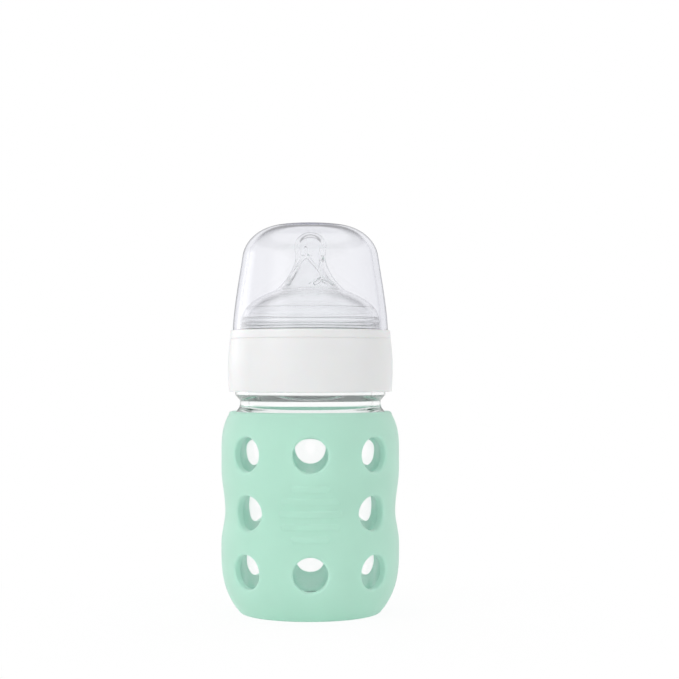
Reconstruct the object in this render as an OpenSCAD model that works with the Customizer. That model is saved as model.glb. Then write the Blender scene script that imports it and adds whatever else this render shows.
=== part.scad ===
// Wide-neck glass baby bottle: glass bottle, perforated silicone sleeve, screw collar, silicone nipple
// and clear dome cap. Millimetres, +Z up, origin at the centre of the foot, front towards -Y.

/* [Sleeve] */
// Greatest outside diameter of the sleeve
sleeve_d = 71.7; // [69:0.1:75]
// Height of the sleeve's top edge above the table
sleeve_h = 81; // [79:0.1:83]
// Thickness of the sleeve's wall
sleeve_wall = 3.1; // [2:0.1:4]
// Thickness of the sleeve's floor under the glass
sleeve_floor = 2.4; // [1.5:0.1:3.5]
// Rounding of the sleeve's top edge
sleeve_rim_round = 1.3; // [0.5:0.1:1.5]
// How far the sleeve's top is drawn in below its rim
sleeve_top_draw = 2.9; // [2:0.1:3.5]
// Diameter of the flat foot ring
foot_d = 54.2; // [50:0.2:57]
// Rounding between the foot and the side
foot_round = 2; // [1:0.1:3]
// Diameter of the opening in the sleeve's floor
floor_opening_d = 40; // [30:1:46]
// Running gap between the sleeve and the glass
sleeve_fit = 0.1; // [0.05:0.05:0.3]

/* [Waist] */
// How far the waist is drawn in
waist_draw = 1.55; // [0:0.05:2.2]
// Drop of the waist's narrowest ring below the middle row of windows
waist_drop = 1; // [-1:0.5:3]
// Height of the blend below the waist
waist_below = 13; // [10:0.5:14]
// Height of the blend above the waist
waist_above = 17.5; // [14:0.5:20]

/* [Windows in the sleeve] */
// Diameter of each window
window_d = 13.6; // [10:0.1:15]
// Height of the lowest row of windows
window_low_z = 19.1; // [17:0.1:21]
// Distance from the highest row of windows to the sleeve's top edge
window_top_gap = 16.1; // [14.5:0.1:19]
// Angle between columns
window_angle = 44; // [38:0.5:46]

/* [Grip patch] */
// Plain band between the round patch of raised bars and the windows above and below it
grip_margin = 4.1; // [2:0.1:8]
// Number of raised bars
grip_bars = 5; // [3:1:6]
// Height of one bar
grip_bar_w = 2.4; // [1.5:0.1:2.6]
// How far the bars stand proud of the sleeve
grip_rise = 0.4; // [0.2:0.05:0.8]

/* [Glass] */
// Thickness of the bottle's side wall
glass_wall = 3; // [2:0.1:4]
// Thickness of the bottle's floor
glass_floor = 5; // [3:0.1:7]
// Inside radius where the floor turns into the wall
heel_round = 8; // [4:0.5:10]
// Rise of the hollow under the bottle's floor
punt_rise = 1.6; // [0.5:0.1:2.5]
// How far the neck's wall stands in from the sleeve's side
neck_inset = 7.35; // [7:0.05:9]
// Thickness of the neck's wall
neck_wall = 3.4; // [2.5:0.1:4]
// Height of the shoulder that shows above the sleeve
neck_rise = 2.6; // [2:0.1:3.4]
// Height of the neck between the shoulder and the bead
neck_h = 3.6; // [3:0.1:4.6]
// How far the bead under the collar stands out from the neck
bead_out = 1.85; // [1:0.05:2.5]
// Height of the bead
bead_h = 3.1; // [2:0.1:4.5]
// Height of the threaded finish above the bead
finish_h = 16.1; // [14:0.1:18]

/* [Collar] */
// Thickness of the collar's skirt where it is widest
collar_wall = 2.4; // [2:0.1:3.5]
// Height of the collar
collar_h = 24.8; // [22:0.1:26]
// Gap between the glass bead and the collar's bore
collar_fit = 0.55; // [0.4:0.05:0.8]
// Thickness of the plate that presses on the nipple
plate_t = 2; // [1.5:0.1:3]
// How far the plate's opening stands in from the neck's outside
plate_inset = 1.6; // [1.2:0.1:2.5]
// Depth of the seat that takes the cap
cap_seat_h = 2.9; // [2:0.1:4]

/* [Nipple] */
// How far the nipple's base overhangs the plate's opening
nipple_overhang = 1.5; // [0.6:0.1:1.8]
// Height of the nipple above the collar's plate
nipple_h = 43.2; // [41:0.1:44]
// Diameter of the rounded tip
tip_d = 13.1; // [11.4:0.1:14.4]
// How far the ring under the tip is drawn in
tip_neck_draw = 0.5; // [0:0.05:1]
// Thickness of the nipple's wall
nipple_wall = 2; // [1.4:0.1:2.6]
// Gap between the flange under the plate and the collar's bore
flange_fit = 0.7; // [0.4:0.1:1.5]
// Thickness of the flange
flange_t = 2.4; // [1.8:0.1:3]
// Diameter of the feeding hole
feed_hole_d = 0.5; // [0.3:0.1:1]
// Width of the ribs that keep the nipple from collapsing
rib_w = 1; // [0.6:0.1:1.4]
// Height of those ribs above the inner surface
rib_rise = 0.7; // [0.4:0.1:1]

/* [Cap] */
// Clear height between the nipple's tip and the cap
cap_headroom = 1.1; // [0.8:0.1:4]
// Clear gap between the nipple's base and the cap's rim
cap_gap = 0.7; // [0.6:0.05:2]
// How far the side draws in from the rim to the shoulder
cap_taper = 4; // [2:0.1:5]
// Thickness of the cap's wall
cap_wall = 2.3; // [1.5:0.1:2.4]
// Thickness of the cap at its crown
crown_wall = 1.8; // [1:0.1:2.2]

/* [Hidden] */
$fn = 96;

// ---- Curves ----
curve_steps = 9;   // straight steps that stand for one Bezier curve
arc_steps = 4;     // straight steps that stand for one rounded corner
skin_step = 2.6;   // height of one step along the body's skin

// Point at share t of the Bezier curve with control points p, moved inwards by inset.
function on_curve(p, t, inset = 0) =
    let (
        u = 1 - t,
        at = u^3 * p[0] + 3 * u^2 * t * p[1] + 3 * u * t^2 * p[2] + t^3 * p[3],
        along = u^2 * (p[1] - p[0]) + 2 * u * t * (p[2] - p[1]) + t^2 * (p[3] - p[2]),
        outwards = [along.y, -along.x] / norm(along)
    ) at - inset * outwards;

function curve(p, inset = 0, n = curve_steps) = tapered(p, inset, inset, n);

// The same with an inset that changes evenly along the curve.
function tapered(p, from, to, n = curve_steps) =
    [for (i = [0 : n]) on_curve(p, i / n, from + (to - from) * i / n)];

// Points of a circular arc.
function arc(centre, r, from, to, n = arc_steps) = [
    for (i = [0 : n]) let (q = from + (to - from) * i / n) centre + r * [cos(q), sin(q)]
];

function reversed(points) = [for (i = [len(points) - 1 : -1 : 0]) points[i]];
function after_first(points) = [for (i = [1 : len(points) - 1]) points[i]];
eps = 0.01;        // keeps a step from landing on the next curve's first point

module turned(points) rotate_extrude() polygon(points);

// ---- The body's skin, shared by sleeve and glass ----
low_z = 27;              // the side starts to draw in below this height
high_z = sleeve_h - 15;  // and above this one
window_high_z = sleeve_h - window_top_gap;
window_z = (window_low_z + window_high_z) / 2;
window_pitch = window_high_z - window_z;
waist_z = window_z - waist_drop;
foot_slope = 36;         // the side's lean where it meets the foot, from upright
sleeve_r = sleeve_d / 2;
foot_corner = foot_d / 2 + foot_round * tan((90 - foot_slope) / 2);
foot_draw = sleeve_r - foot_corner;
rim_z = sleeve_h - sleeve_rim_round;

function waist(z) =
    let (u = z < waist_z ? (waist_z - z) / waist_below : (z - waist_z) / waist_above)
    u < 1 ? waist_draw * cos(90 * u)^2 : 0;
function foot_in(z) = z < low_z ? foot_draw * ((low_z - z) / low_z)^3 : 0;
function top_in(z, from, to, draw, power) = z > from ? draw * ((z - from) / (to - from))^power : 0;

// Sleeve's outside radius at a height.
function skin_r(z) = sleeve_r - waist(z) - foot_in(z) - top_in(z, high_z, rim_z, sleeve_top_draw, 2.6);

// ---- Glass ----
glass_fit = sleeve_wall + sleeve_fit;
neck_r = sleeve_r - neck_inset;
bead_r = neck_r + bead_out;
shoulder_from = high_z + 2; // the glass keeps its width up to this height
shoulder_edge = 1.6;     // the shoulder's overhang beyond the neck where they blend
neck_blend_h = 2.8;      // height of that blend
neck_z = sleeve_h + neck_rise;
bead_z = neck_z + neck_h;
finish_z = bead_z + bead_h;
mouth_z = finish_z + finish_h;
finish_r = neck_r - 0.3;
bore_r = neck_r - neck_wall;
shoulder_draw = sleeve_r - glass_fit - neck_r - shoulder_edge;
glass_base_z = sleeve_floor;
inside_z = glass_base_z + glass_floor;
blend_z = neck_z - neck_blend_h;

// Glass's outside radius at a height, up to the neck's blend.
function glass_r(z) =
    sleeve_r - glass_fit - waist(z) - foot_in(z) - top_in(z, shoulder_from, blend_z, shoulder_draw, 3.6);

// Outside of the glass from its base to the neck, grown by a gap.
function glass_skin(gap) = concat(
    [for (z = [glass_base_z : skin_step : blend_z - eps]) [glass_r(z) + gap, z]],
    curve([
        [neck_r + shoulder_edge + gap, blend_z],
        [neck_r + shoulder_edge / 2 + gap, blend_z + neck_blend_h * 0.4],
        [neck_r + gap, blend_z + neck_blend_h * 0.6],
        [neck_r + gap, neck_z]
    ], n = 5)
);

// ---- Levels of the closure ----
plate_z = mouth_z + flange_t;        // underside of the collar's plate
seat_z = plate_z + plate_t;          // top of the plate, where the cap stands
collar_top = seat_z + cap_seat_h;
collar_base = collar_top - collar_h;

// ---- Radii of the closure ----
collar_bore_r = bead_r + collar_fit;
plate_opening_r = neck_r - plate_inset;
base_r = plate_opening_r + nipple_overhang;
flange_r = collar_bore_r - flange_fit;
cap_r = base_r + cap_gap + cap_wall;
seat_r = cap_r + 0.2;                // wall of the seat, clear of the cap
seat_lip = 0.7;                      // top edge of the collar around the seat
band_draw = 1;                       // how far the collar's top edge stands in from its widest ring
collar_r = max(collar_bore_r + collar_wall, seat_r + seat_lip + band_draw);

module glass_bottle() {
    heel_z = inside_z + heel_round;
    heel_r = glass_r(heel_z) - glass_wall;
    punt_r = floor_opening_d / 2 + 2;
    bead_round = 0.6;
    bead_slope = 40;                 // lean of the bead's underside, from upright
    bead_out_straight = bead_out - 2 * bead_round * (1 - cos(bead_slope));
    bead_from = bead_z + bead_round - 2 * bead_round * sin(bead_slope) - bead_out_straight / tan(bead_slope);
    throat_round = 2;
    throat_slope = 48;               // lean of the inside of the shoulder, from upright
    throat_run = 3.6;
    lip_round = 1.1;
    throat = arc([bore_r + throat_round, neck_z - 1.4], throat_round, 180 + throat_slope, 180);
    outside = concat(
        [for (i = [0 : arc_steps]) let (u = i / arc_steps)
            [punt_r * u, glass_base_z + punt_rise * (1 - u^2)]],
        glass_skin(0),
        arc([neck_r + bead_round, bead_from], bead_round, 180, 180 - bead_slope, 2),
        arc([bead_r - bead_round, bead_z + bead_round], bead_round, -bead_slope, 0, 2),
        arc([bead_r - bead_round, finish_z - bead_round], bead_round, 0, 90),
        [[finish_r, finish_z]],
        arc([finish_r - lip_round, mouth_z - lip_round], lip_round, 0, 90)
    );
    inside = concat(
        [[0, inside_z]],
        arc([heel_r - heel_round, heel_z], heel_round, -90, 0, 2 * arc_steps),
        [for (z = [heel_z + skin_step : skin_step : high_z]) [glass_r(z) - glass_wall, z]],
        curve([
            [glass_r(high_z) - glass_wall, high_z + 1],
            [glass_r(high_z) - glass_wall, high_z + 10],
            throat[0] + throat_run * [sin(throat_slope), -cos(throat_slope)],
            throat[0]
        ]),
        after_first(throat),
        [[bore_r, mouth_z - lip_round / 2], [bore_r + lip_round / 2, mouth_z]]
    );
    color([0.86, 0.93, 0.91, 0.35]) turned(concat(outside, reversed(inside)));
}

// ---- Sleeve ----
// Cylinder that cuts one window, or carries one raised bar, from the axis outwards.
module outwards(angle, z) {
    translate([0, 0, z]) rotate([90, 0, angle]) linear_extrude(sleeve_r + 5) children();
}

module sleeve_windows() {
    for (face = [0, 180], column = [-1 : 1], row = [-1 : 1]) {
        is_grip = face == 0 && column == 0 && row == 0;
        if (!is_grip)
            outwards(face + column * window_angle, window_z + row * window_pitch) circle(d = window_d);
    }
}

// Sleeve's outside outline, grown by a rise, down to the axis.
function sleeve_outline(rise = 0) =
    let (corner = [foot_d / 2, foot_round], rim = [skin_r(rim_z) - sleeve_rim_round, rim_z])
    concat(
        [[0, 0]],
        arc(corner, foot_round + rise, -90, -foot_slope),
        [for (z = [foot_round : skin_step : rim_z - eps]) [skin_r(z) + rise, z]],
        arc(rim, sleeve_rim_round + rise, 0, 90),
        [[0, sleeve_h]]
    );

module pill(length, width) {
    half = (length - width) / 2;
    square([2 * half, width], center = true);
    for (side = [-1, 1]) translate([side * half, 0]) circle(d = width);
}

// Raised bars whose ends follow a circle.
module grip_patch() {
    grip_r = window_pitch - window_d / 2 - grip_margin;
    pitch = 2 * grip_r / grip_bars;
    for (i = [0 : grip_bars - 1]) {
        offset_z = (i - (grip_bars - 1) / 2) * pitch;
        length = 2 * sqrt(grip_r^2 - offset_z^2);
        outwards(0, window_z + offset_z) pill(length, grip_bar_w);
    }
}

module silicone_sleeve() {
    root = sleeve_wall / 2;
    color([0.69, 0.87, 0.79]) {
        difference() {
            union() {
                difference() {
                    turned(sleeve_outline());
                    turned(concat([[0, sleeve_floor]], glass_skin(sleeve_fit), [[0, neck_z]]));
                    translate([0, 0, -1]) cylinder(d = floor_opening_d, h = sleeve_floor + 2);
                }
                intersection() {
                    difference() {
                        turned(sleeve_outline(grip_rise));
                        turned(sleeve_outline(-root));
                    }
                    grip_patch();
                }
            }
            sleeve_windows();
        }
    }
}

// ---- Collar ----
module screw_collar() {
    groove_z = seat_z - 0.6;         // fine groove between the top band and the skirt
    groove = 0.25;
    bulge_z = collar_base + 11.3;    // height of the greatest diameter
    base_draw = 0.35;
    top_draw = 0.8;
    edge_round = 0.5;
    skirt_steps = 6;
    lower = [for (i = [skirt_steps : -1 : 0]) let (u = i / skirt_steps)
        [collar_r - base_draw * u^2, bulge_z - u * (bulge_z - collar_base - edge_round)]];
    upper = [for (i = [1 : skirt_steps]) let (u = i / skirt_steps)
        [collar_r - top_draw * u^1.5, bulge_z + u * (groove_z - groove - bulge_z)]];
    outline = concat(
        [[collar_bore_r + 0.3, collar_base], [collar_r - base_draw - edge_round, collar_base]],
        lower,
        upper,
        [[collar_r - top_draw - groove, groove_z], [collar_r - top_draw, groove_z + groove]],
        arc([collar_r - band_draw - edge_round, collar_top - edge_round], edge_round, 0, 90),
        [
            [seat_r, collar_top],
            [seat_r, seat_z],
            [plate_opening_r, seat_z],
            [plate_opening_r, plate_z],
            [collar_bore_r, plate_z],
            [collar_bore_r, collar_base + 0.5]
        ]
    );
    color([0.96, 0.96, 0.96]) turned(outline);
}

// ---- Nipple ----
nipple_gap = 0.3;                    // clearance between the nipple and the collar's plate
tip_r = tip_d / 2;
tip_neck_r = tip_r - tip_neck_draw;
bulge_h = 4.5;                       // height of the nipple's upright base above the plate
flare = [15.5, 18.5];                // where the dome turns into the shaft's flare, above the plate
flare_slope = 22;                    // fall of the skin there
flare_way = [cos(flare_slope), -sin(flare_slope)];
base_pull = 7;                       // how far the dome's curve runs on along its ends' directions
dome_pull = 9;
shaft_pull = 5;                      // the same for the shaft's curve
neck_pull = 4;
tip_length = 10.8;                   // from the ring under the tip to the tip's top
tip_neck_h = nipple_h - tip_length;  // height of that ring above the plate
tip_wide_h = nipple_h - tip_r;       // height of the tip's greatest width

// Control points of the nipple's skin above the plate, from its base to its tip.
dome_curve = [[base_r, bulge_h], [base_r, bulge_h + base_pull], flare + dome_pull * flare_way, flare];
shaft_curve = [flare, flare - shaft_pull * flare_way, [tip_neck_r, tip_neck_h - neck_pull],
    [tip_neck_r, tip_neck_h]];
swell_curve = [[tip_neck_r, tip_neck_h], [tip_neck_r, tip_neck_h + 1.5], [tip_r, tip_wide_h - 1.5],
    [tip_r, tip_wide_h]];
tip_curve = [[tip_r, tip_wide_h], [tip_r, tip_wide_h + tip_r * 0.55], [tip_r * 0.55, nipple_h],
    [0, nipple_h]];

// Nipple's skin above the plate, moved inwards by inset.
function nipple_skin(inset) = above_plate(concat(
    curve(dome_curve, inset),
    after_first(curve(shaft_curve, inset)),
    after_first(curve(swell_curve, inset, 4)),
    after_first(curve(tip_curve, inset))
));
function above_plate(points) = [for (p = points) p + [0, seat_z]];

// Straight bar with round ends between two points of a drawing.
module bar(from, to, width) {
    run = to - from;
    translate(from) rotate(atan2(run.y, run.x)) {
        translate([0, -width / 2]) square([norm(run), width]);
        circle(d = width);
        translate([norm(run), 0]) circle(d = width);
    }
}

// One third of the net of ribs: a fork whose arms climb the shaft and whose legs spread over the dome.
module rib_drawing() {
    fork_drop = 6.2;                 // depths below the ring under the tip
    crotch_drop = 9.1;
    leg_drop = 11.8;
    leg_spread = 4.1;
    fork = [0, tip_neck_h - fork_drop];
    crotch = [0, tip_neck_h - crotch_drop];
    arm_top = tip_neck_h + 0.3;
    arm_half = (tip_neck_r - nipple_wall) * sin(60);
    leg_end = [leg_spread, tip_neck_h - leg_drop];
    bar(crotch, fork, rib_w);
    for (side = [-1, 1]) {
        bar(fork, [side * arm_half, arm_top], rib_w);
        bar(crotch, [side * leg_end.x, leg_end.y], rib_w);
    }
}

module ribs() {
    lobes = 3;
    turn = 36;                       // azimuth of the first fork, to the right of the front
    embed = 0.3;
    stem = [tip_neck_h + 0.3, tip_neck_h + 3.5];
    intersection() {
        difference() {
            turned(concat(nipple_skin(nipple_wall - embed), [[0, seat_z + bulge_h]]));
            turned(concat(nipple_skin(nipple_wall + rib_rise), [[0, seat_z + bulge_h]]));
        }
        translate([0, 0, seat_z]) for (i = [0 : lobes - 1]) {
            rotate([90, 0, turn + i * 360 / lobes]) linear_extrude(base_r) rib_drawing();
            rotate([90, 0, turn + (i + 0.5) * 360 / lobes]) linear_extrude(base_r)
                bar([0, stem[0]], [0, stem[1]], rib_w);
        }
    }
}

module nipple() {
    neck = plate_opening_r - nipple_gap;
    flange_round = 0.6;
    seal_r = bore_r - nipple_gap;    // lip that centres the nipple in the bottle's mouth
    seal_h = 1.8;
    seal_wall = 1.6;
    flex_grooves = [[0, 0.4], [0.049, 0.3], [0.145, 0.4], [0.42, 0.25]]; // [share of the dome, radius]
    outside = concat(
        [[seal_r - seal_wall, mouth_z - seal_h], [seal_r, mouth_z - seal_h], [seal_r, mouth_z]],
        [[flange_r - flange_round, mouth_z], [flange_r, mouth_z + flange_round]],
        [[flange_r, plate_z - flange_round], [flange_r - flange_round, plate_z]],
        [[neck, plate_z], [neck, seat_z + nipple_gap], [base_r - 0.5, seat_z + nipple_gap]],
        [[base_r, seat_z + nipple_gap + 0.5]],
        nipple_skin(0)
    );
    inside = concat(
        [[seal_r - seal_wall, seat_z]],
        curve(above_plate([[seal_r - seal_wall, 0.5], [seal_r - seal_wall, 2.5],
            [base_r - nipple_wall, 2.5], [base_r - nipple_wall, bulge_h - 1]]), 0, 5),
        nipple_skin(nipple_wall)
    );
    color([0.93, 0.94, 0.96, 0.5]) {
        difference() {
            rotate_extrude() difference() {
                polygon(concat(outside, reversed(inside)));
                for (groove = flex_grooves)
                    translate(on_curve(dome_curve, groove[0]) + [0, seat_z]) circle(groove[1]);
            }
            translate([0, 0, seat_z + nipple_h - 2 * nipple_wall])
                cylinder(d = feed_hole_d, h = 3 * nipple_wall);
        }
        ribs();
    }
}

// ---- Cap ----
cap_h = nipple_h + cap_headroom + crown_wall;
cap_shoulder_r = cap_r - cap_taper;

// Cap's skin from its rim to its crown, moved inwards by one inset at its side and one at its crown.
function cap_skin(side, top) =
    let (
        rim = [cap_r - 0.1, cap_h * 0.098],
        shoulder = [cap_shoulder_r, cap_h * 0.722],
        brow = [cap_shoulder_r * 0.588, cap_h * 0.972],
        rim_pull = cap_h * [-0.013, 0.208],
        side_pull = cap_h * [0.0195, -0.139],
        shoulder_pull = cap_h * [-0.0174, 0.104],
        brow_pull = cap_h * [0.139, -0.041],
        crown_pull = cap_h * [-0.078, 0.0228],
        crown = [0, cap_h]
    )
    concat(
        [[cap_r - side, 0]],
        curve([rim, rim + rim_pull, shoulder + side_pull, shoulder], side, 6),
        after_first(tapered([shoulder, shoulder + shoulder_pull, brow + brow_pull, brow], side, top)),
        after_first(curve([brow, brow + crown_pull, crown + [cap_r * 0.223, 0], crown], top, 6))
    );

module dome_cap() {
    color([0.9, 0.9, 0.94, 0.3]) translate([0, 0, seat_z])
        turned(concat(cap_skin(0, 0), reversed(cap_skin(cap_wall, crown_wall))));
}

glass_bottle();
silicone_sleeve();
screw_collar();
nipple();
dome_cap();
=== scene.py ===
"""Looks of a glass baby bottle in a perforated silicone sleeve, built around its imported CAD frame.

Lengths are in millimetres until they reach a mesh, a lamp or the camera. An azimuth is in degrees
from the front (-Y) towards +X, and an outline is a loop of (radius, height) points that runs up
the outside of a piece and down its inside.
"""

import math

import bpy
import numpy as np
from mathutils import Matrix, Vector, geometry


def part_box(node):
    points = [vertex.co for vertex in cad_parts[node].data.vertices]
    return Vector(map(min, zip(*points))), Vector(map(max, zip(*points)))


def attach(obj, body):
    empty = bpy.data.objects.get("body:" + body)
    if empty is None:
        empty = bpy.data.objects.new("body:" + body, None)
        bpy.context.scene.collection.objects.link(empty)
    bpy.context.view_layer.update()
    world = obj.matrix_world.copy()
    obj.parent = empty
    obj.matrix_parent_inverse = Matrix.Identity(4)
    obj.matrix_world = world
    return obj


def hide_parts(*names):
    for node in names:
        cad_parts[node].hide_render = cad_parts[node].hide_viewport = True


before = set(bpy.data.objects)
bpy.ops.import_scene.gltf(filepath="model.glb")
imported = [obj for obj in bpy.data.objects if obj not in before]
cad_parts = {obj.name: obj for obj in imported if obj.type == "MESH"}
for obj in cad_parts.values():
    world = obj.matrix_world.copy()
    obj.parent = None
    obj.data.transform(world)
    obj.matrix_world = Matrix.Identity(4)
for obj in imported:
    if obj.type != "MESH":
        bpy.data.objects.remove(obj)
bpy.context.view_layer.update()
MM = 0.001


# ---- Sizes: levels come from the frame, the rest repeats the CAD's driving dimensions, except where
# a comment says that the photograph showed the size better after the CAD was packed ----
def level(node, corner):
    """Height of a CAD node's lowest (0) or highest (1) corner."""
    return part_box(node)[corner].z / MM


SLEEVE_H = level("silicone_sleeve", 1)
GLASS_BASE = level("glass_bottle", 0)
MOUTH_Z = level("glass_bottle", 1)
COLLAR_BASE = level("screw_collar", 0)
COLLAR_TOP = level("screw_collar", 1)
SEAT_Z = level("dome_cap", 0)
CAP_H = level("dome_cap", 1) - SEAT_Z
NIPPLE_H = level("nipple", 1) - SEAT_Z
PLATE_T = 2.0
PLATE_Z = SEAT_Z - PLATE_T
HAIR = 0.03  # gap left between touching pieces, so that no two surfaces coincide

SLEEVE_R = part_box("silicone_sleeve")[1].x / MM
SLEEVE_WALL = 3.1
SLEEVE_FIT = 0.1
RIM_ROUND = 1.3
TOP_DRAW = 2.9
FOOT_R = 27.1
FOOT_ROUND = 2.0
FOOT_SLOPE = 36.0
FLOOR_OPENING_R = 20.0
WAIST_DRAW = 1.55
WAIST_Z = 41.0
WAIST_BELOW = 13.0
WAIST_ABOVE = 17.5
SIDE_LOW = 27.0
SIDE_HIGH = 66.0

WINDOW_R = 6.8
WINDOW_LIP = 1.0
WINDOW_PITCH = 22.9
WINDOW_Z = 41.75  # from the photograph, as are the two angles; 42 in the CAD
FRONT_ANGLE = 45.5  # between columns; 44 in the CAD
BACK_ANGLE = 47.0  # between columns; 44 in the CAD

GRIP_R = 12.0
GRIP_Z = 42.0
GRIP_BARS = 5
GRIP_BAR_W = 2.4
GRIP_RISE = 0.4
GRIP_EDGE = 0.32  # half the width of the soft edge round each bar

GLASS_WALL = 1.8  # from what the photograph shows through the windows; 3 in the CAD
GLASS_FLOOR = 3.9  # from the same; 5 in the CAD
HEEL_ROUND = 8.0
HEEL_CORNER = 1.4
HEEL_TUCK = 0.35
PUNT_RISE = 1.6
NECK_R = 28.5
NECK_WALL = 3.4
NECK_Z = SLEEVE_H + 2.6
BEAD_Z = NECK_Z + 3.6
BEAD_R = 30.35
BEAD_ROUND = 0.6
BEAD_SLOPE = math.radians(40.0)  # lean of the bead's underside, from upright
FINISH_Z = BEAD_Z + 3.1
FINISH_R = NECK_R - 0.3
FINISH_FILLET = 0.4
MOUTH_LIP = 1.1
BORE_R = NECK_R - NECK_WALL
SHOULDER_FROM = 68.0
SHOULDER_EDGE = 1.6
# The inside of the shoulder is shaped by what the photograph shows through the neck.
THROAT_FROM = 66.0
THROAT_RISE = 10.0
THROAT_SLOPE = math.radians(46.0)  # lean, from upright
THROAT_ROUND = 2.2
THROAT_DROP = 1.1
THROAT_RUN = 3.6
BLEND_H = 2.8
BLEND_Z = NECK_Z - BLEND_H

THREAD_PITCH = 5.0
THREAD_TURNS = 1.25
THREAD_RISE = 1.25
THREAD_HALF_W = 1.1
THREAD_FLANK = 0.7
THREAD_END = 0.08  # share of a turn over which the thread grows to its full height

COLLAR_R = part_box("screw_collar")[1].x / MM
COLLAR_BORE_R = 30.9
PLATE_OPENING_R = 26.9

NIPPLE_GAP = 0.3
NIPPLE_BASE_R = 28.4
NIPPLE_WALL = 2.0
TIP_R = 6.55
TIP_NECK_R = 6.05
FLANGE_R = 30.2
FEED_HOLE_R = 0.25
RIB_W = 1.0
RIB_RISE = 0.7
RIB_EDGE = 0.4

CAP_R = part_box("dome_cap")[1].x / MM
CAP_TAPER = 4.0
CAP_WALL = 2.3
CROWN_WALL = 1.8


# ---- Outlines ----
def smooth(x):
    """Smooth step from 0 at x = 0 to 1 at x = 1."""
    x = np.clip(x, 0.0, 1.0)
    return x * x * (3.0 - 2.0 * x)


def bezier(p, inset=0.0, n=24, last=None):
    """Points of a cubic Bezier curve, moved into the body on the left of its run.

    The move changes evenly from inset to last, where last is given.
    """
    p = [np.array(q, float) for q in p]
    points = []
    insets = np.linspace(inset, inset if last is None else last, n + 1)
    for t, inset in zip(np.linspace(0.0, 1.0, n + 1), insets):
        u = 1.0 - t
        at = u**3 * p[0] + 3 * u * u * t * p[1] + 3 * u * t * t * p[2] + t**3 * p[3]
        along = u * u * (p[1] - p[0]) + 2 * u * t * (p[2] - p[1]) + t * t * (p[3] - p[2])
        outwards = np.array([along[1], -along[0]]) / np.linalg.norm(along)
        points.append(tuple(at - inset * outwards))
    return points


def arc(centre, r, start, end, n=8):
    """Points of a circular arc between two angles in degrees."""
    return [
        (centre[0] + r * math.cos(math.radians(q)), centre[1] + r * math.sin(math.radians(q)))
        for q in np.linspace(start, end, n + 1)
    ]


def line(a, b, n):
    """n points from a towards b, without b itself."""
    return [tuple(np.array(a) + (np.array(b) - np.array(a)) * i / n) for i in range(n)]


def heights(low, high, step):
    """Even heights from low to high, about a step apart."""
    return np.linspace(low, high, max(2, round((high - low) / step) + 1))


def waist(z):
    """How far the waist draws the wall in."""
    u = np.where(z < WAIST_Z, (WAIST_Z - z) / WAIST_BELOW, (z - WAIST_Z) / WAIST_ABOVE)
    return np.where(u < 1.0, WAIST_DRAW * np.cos(np.radians(90.0 * np.minimum(u, 1.0))) ** 2, 0.0)


FOOT_CORNER = FOOT_R + FOOT_ROUND * math.tan(math.radians((90.0 - FOOT_SLOPE) / 2))


def foot_in(z):
    """How far the wall draws in towards the foot."""
    return (SLEEVE_R - FOOT_CORNER) * (np.maximum(SIDE_LOW - z, 0.0) / SIDE_LOW) ** 3


def top_in(z, start, end, draw, power):
    """How far the wall draws in from a start, to its whole draw at the end."""
    return draw * (np.maximum(z - start, 0.0) / (end - start)) ** power


RIM_Z = SLEEVE_H - RIM_ROUND


def skin_r(z):
    """Outside radius of the sleeve."""
    return SLEEVE_R - waist(z) - foot_in(z) - top_in(z, SIDE_HIGH, RIM_Z, TOP_DRAW, 2.6)


def glass_r(z):
    """Outside radius of the glass, up to the blend into its neck."""
    draw = SLEEVE_R - SLEEVE_WALL - SLEEVE_FIT - NECK_R - SHOULDER_EDGE
    side = SLEEVE_R - SLEEVE_WALL - SLEEVE_FIT - waist(z) - foot_in(z)
    return side - top_in(z, SHOULDER_FROM, BLEND_Z, draw, 3.6)


def cavity_r(z):
    """Inside radius of the sleeve."""
    return glass_r(z) + SLEEVE_FIT


def shoulder_blend(gap=0.0):
    """Curve of the glass from its shoulder into its neck, grown by a gap."""
    edge = NECK_R + SHOULDER_EDGE + gap
    return bezier([
        (edge, BLEND_Z),
        (edge - SHOULDER_EDGE / 2, BLEND_Z + BLEND_H * 0.4),
        (NECK_R + gap, BLEND_Z + BLEND_H * 0.6),
        (NECK_R + gap, NECK_Z),
    ])


# ---- Meshes ----
SEGMENTS = 192  # round a turned piece
NIPPLE_SEGMENTS = 360  # round the nipple, whose ribs are fine
SHARP_ANGLE = math.radians(35.0)  # an edge bent more than this stays crisp


def make(name, points, faces, material, body):
    """Object from points in millimetres, smooth but for its real edges, riding on a CAD body."""
    mesh = bpy.data.meshes.new(name)
    mesh.from_pydata((np.asarray(points) * MM).tolist(), [], faces)
    mesh.validate()
    mesh.shade_smooth()
    mesh.set_sharp_from_angle(angle=SHARP_ANGLE)
    mesh.materials.append(material)
    piece = bpy.data.objects.new(name, mesh)
    bpy.context.scene.collection.objects.link(piece)
    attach(piece, body)
    return piece


def around(r, z, azimuth):
    """Points at a radius, a height and an azimuth."""
    a = np.radians(azimuth)
    return np.stack([r * np.sin(a), -r * np.cos(a), z + 0.0 * a], axis=-1)


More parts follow.
